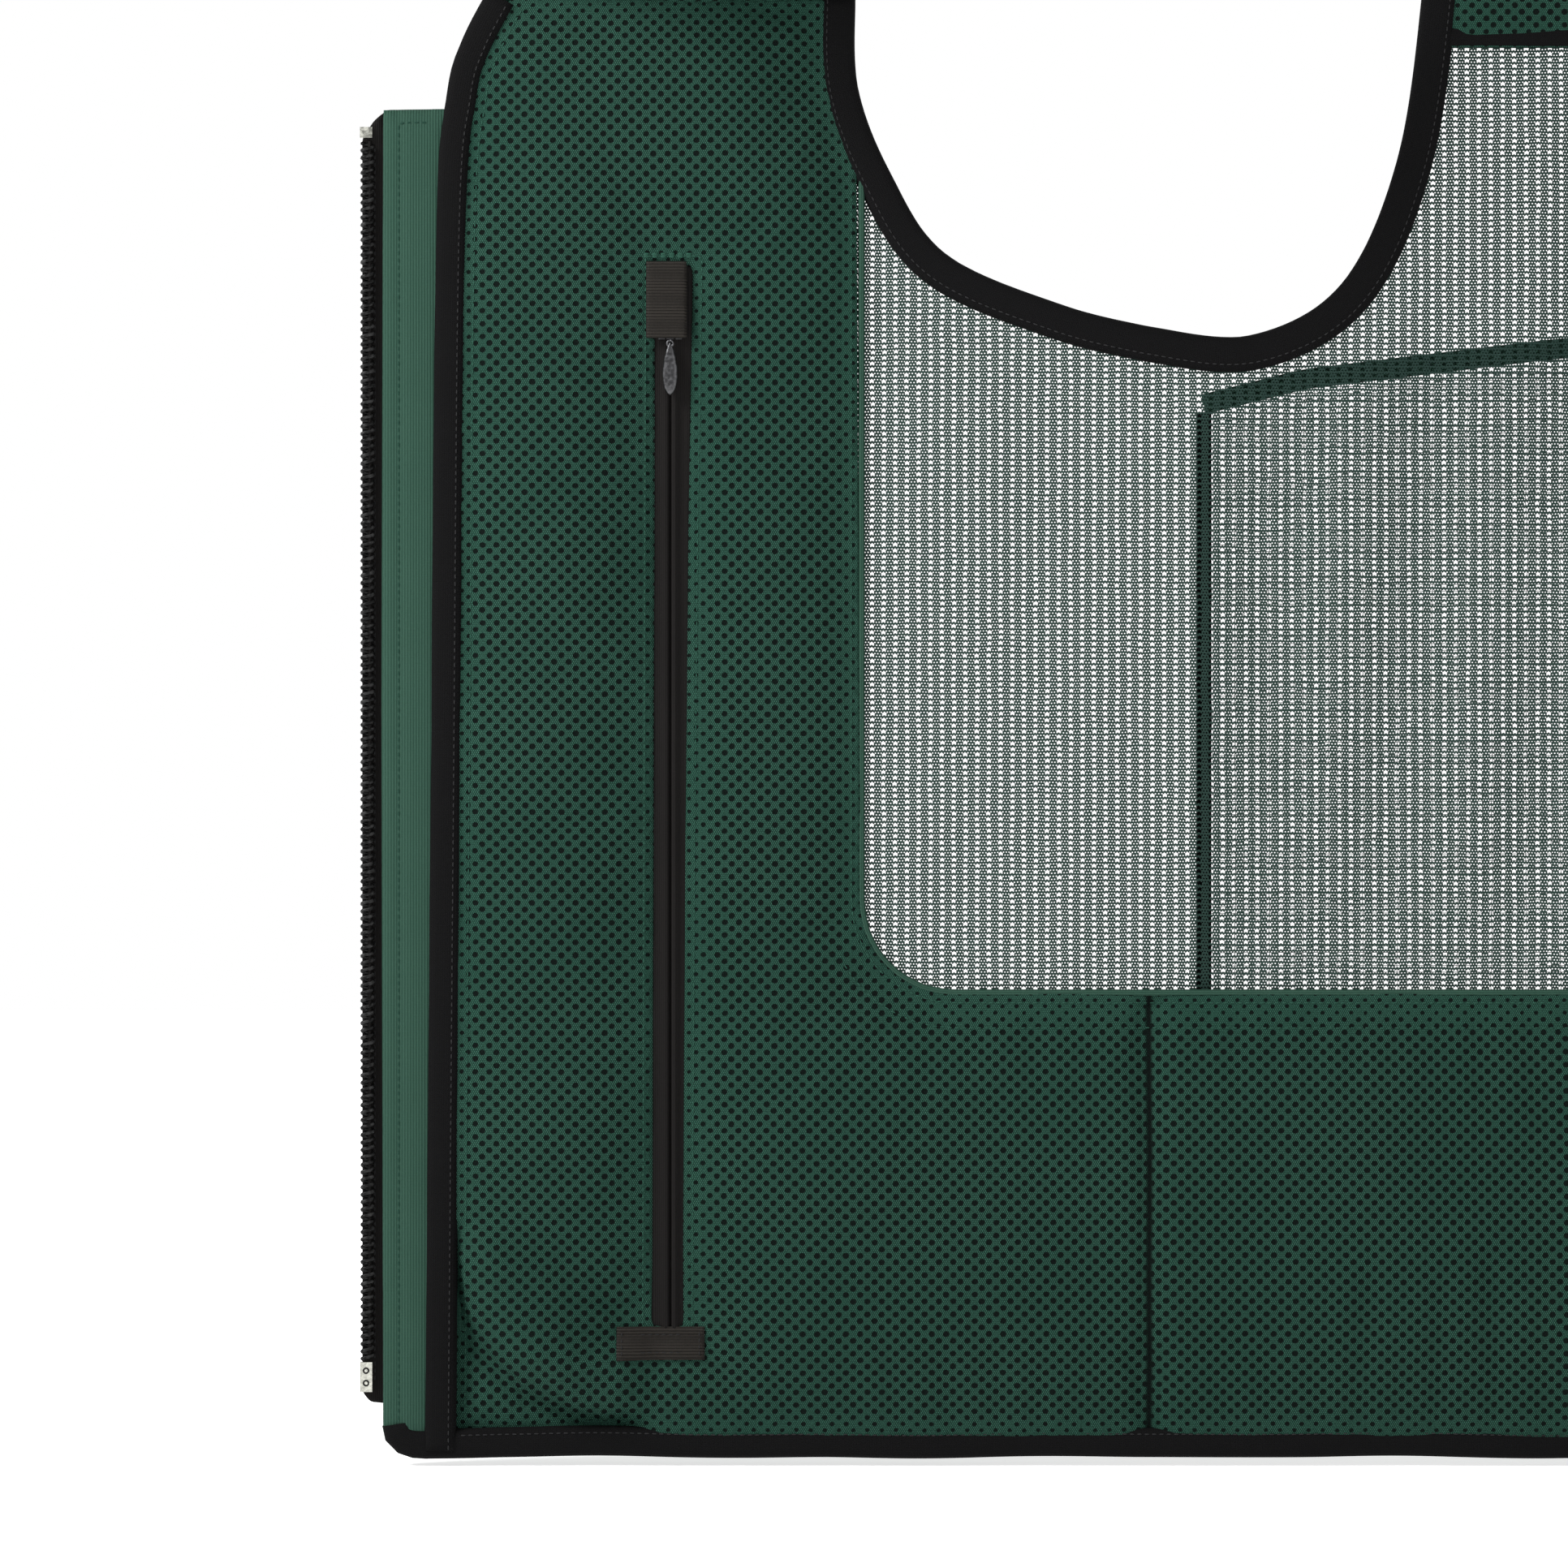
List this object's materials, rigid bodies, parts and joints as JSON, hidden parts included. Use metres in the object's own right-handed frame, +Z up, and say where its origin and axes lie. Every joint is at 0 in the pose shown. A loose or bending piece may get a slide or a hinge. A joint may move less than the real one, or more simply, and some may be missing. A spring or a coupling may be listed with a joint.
{
  "type": "fishing vest",
  "caption": "Mesh-lined fishing vest, unzipped and spread open inside out, with zipped inner pockets, outer pockets and a see-through mesh back.",
  "frame": {"origin": "centre of the back hem binding's lower face, on the centre-back line", "axes": "+X to the wearer's left across the spread vest, +Y out through the outer face, +Z up from hem to shoulder"},
  "size_m": [1.2548, 0.261, 0.6951],
  "materials": {
    "spacer_mesh": "knitted air mesh, matt",
    "window_mesh": "open knitted net, matt",
    "woven_shell": "plain weave, slight sheen",
    "facing": "smooth ribbed tape, soft sheen",
    "binding": "folded knit binding, matt",
    "zip_tape": "herringbone zip tape, matt",
    "grosgrain": "ribbed webbing, matt",
    "zip_coil": "moulded nylon coil",
    "bright_metal": "cast zinc, satin",
    "gunmetal": "dark plated zinc"
  },
  "bodies": {
    "root": {"back_hem_binding": "binding", "back_mesh": "window_mesh", "back_waist_lining": "spacer_mesh", "back_waist_shell": "woven_shell", "back_yoke_lining": "spacer_mesh", "back_yoke_shell": "woven_shell", "hanger_loop": "grosgrain", "left_back_armhole_binding": "binding", "left_shoulder_strap": "woven_shell", "neck_binding": "binding", "rear_pocket": "window_mesh", "rear_pocket_trim": "facing", "right_back_armhole_binding": "binding", "right_shoulder_strap": "woven_shell", "ring_loop": "binding"},
    "right_front": {"right_armhole_binding": "binding", "right_chest_pocket": "woven_shell", "right_front_binding": "binding", "right_front_lining": "spacer_mesh", "right_front_shell": "woven_shell", "right_hem_binding": "binding", "right_insertion_pin": "bright_metal", "right_lower_pocket": "woven_shell", "right_placket_facing": "facing", "right_pocket_bag": "window_mesh", "right_pocket_bottom_bar": "grosgrain", "right_pocket_top_tab": "grosgrain", "right_pocket_zip": "zip_tape", "right_window_mesh": "window_mesh", "right_zip_coil": "zip_coil", "right_zip_tape": "zip_tape", "right_zip_top_stop": "bright_metal"},
    "left_front": {"left_armhole_binding": "binding", "left_chest_pocket": "woven_shell", "left_front_binding": "binding", "left_front_lining": "spacer_mesh", "left_front_shell": "woven_shell", "left_hem_binding": "binding", "left_lower_pocket": "woven_shell", "left_placket_facing": "facing", "left_pocket_bag": "window_mesh", "left_pocket_bottom_bar": "grosgrain", "left_pocket_top_tab": "grosgrain", "left_pocket_zip": "zip_tape", "left_retainer_box": "bright_metal", "left_window_mesh": "window_mesh", "left_zip_coil": "zip_coil", "left_zip_tape": "zip_tape", "left_zip_top_stop": "bright_metal"},
    "right_pocket_slider": {"right_pocket_slider": "gunmetal"},
    "right_pocket_puller": {"right_pocket_puller": "gunmetal"},
    "right_lower_flap": {"right_lower_flap": "woven_shell"},
    "left_pocket_slider": {"left_pocket_slider": "gunmetal"},
    "left_pocket_puller": {"left_pocket_puller": "gunmetal"},
    "left_lower_flap": {"left_lower_flap": "woven_shell"},
    "front_slider": {"front_zip_slider": "bright_metal"},
    "front_puller": {"front_zip_puller": "bright_metal"},
    "back_ring": {"back_ring": "bright_metal"}
  },
  "joints": [
    {"name": "right_front_fold", "type": "hinge", "parent": "root", "child": "right_front", "pos_m": [-0.312, -0.02, 0], "axis": [0, 0, 1], "range_deg": [0, 178], "deforming": ["right_shoulder_strap"]},
    {"name": "right_pocket_zip_slide", "type": "slide", "parent": "right_front", "child": "right_pocket_slider", "axis": [0, 0, -1], "range_m": [0, 0.384]},
    {"name": "right_pocket_puller_hinge", "type": "hinge", "parent": "right_pocket_slider", "child": "right_pocket_puller", "pos_m": [-0.5005, -0.0067, 0.4385], "axis": [-1, 0, 0], "range_deg": [0, 100]},
    {"name": "right_lower_flap_hinge", "type": "hinge", "parent": "right_front", "child": "right_lower_flap", "pos_m": [-0.46, 0.0215, 0.175], "axis": [1, 0, 0], "range_deg": [0, 150]},
    {"name": "left_front_fold", "type": "hinge", "parent": "root", "child": "left_front", "pos_m": [0.312, -0.02, 0], "axis": [0, 0, -1], "range_deg": [0, 178], "deforming": ["left_shoulder_strap"]},
    {"name": "left_pocket_zip_slide", "type": "slide", "parent": "left_front", "child": "left_pocket_slider", "axis": [0, 0, -1], "range_m": [0, 0.384]},
    {"name": "left_pocket_puller_hinge", "type": "hinge", "parent": "left_pocket_slider", "child": "left_pocket_puller", "pos_m": [0.5005, -0.0067, 0.4385], "axis": [-1, 0, 0], "range_deg": [0, 100]},
    {"name": "left_lower_flap_hinge", "type": "hinge", "parent": "left_front", "child": "left_lower_flap", "pos_m": [0.46, 0.0215, 0.175], "axis": [1, 0, 0], "range_deg": [0, 150]},
    {"name": "front_zip_slide", "type": "slide", "parent": "left_front", "child": "front_slider", "axis": [0, 0, 1], "range_m": [0, 0.47]},
    {"name": "front_puller_hinge", "type": "hinge", "parent": "front_slider", "child": "front_puller", "pos_m": [0.624, 0.005, 0.043], "axis": [1, 0, 0], "range_deg": [0, 170]},
    {"name": "back_ring_hinge", "type": "hinge", "parent": "root", "child": "back_ring", "pos_m": [0, 0.0069, 0.596], "axis": [1, 0, 0], "range_deg": [0, 150]}
  ]
}
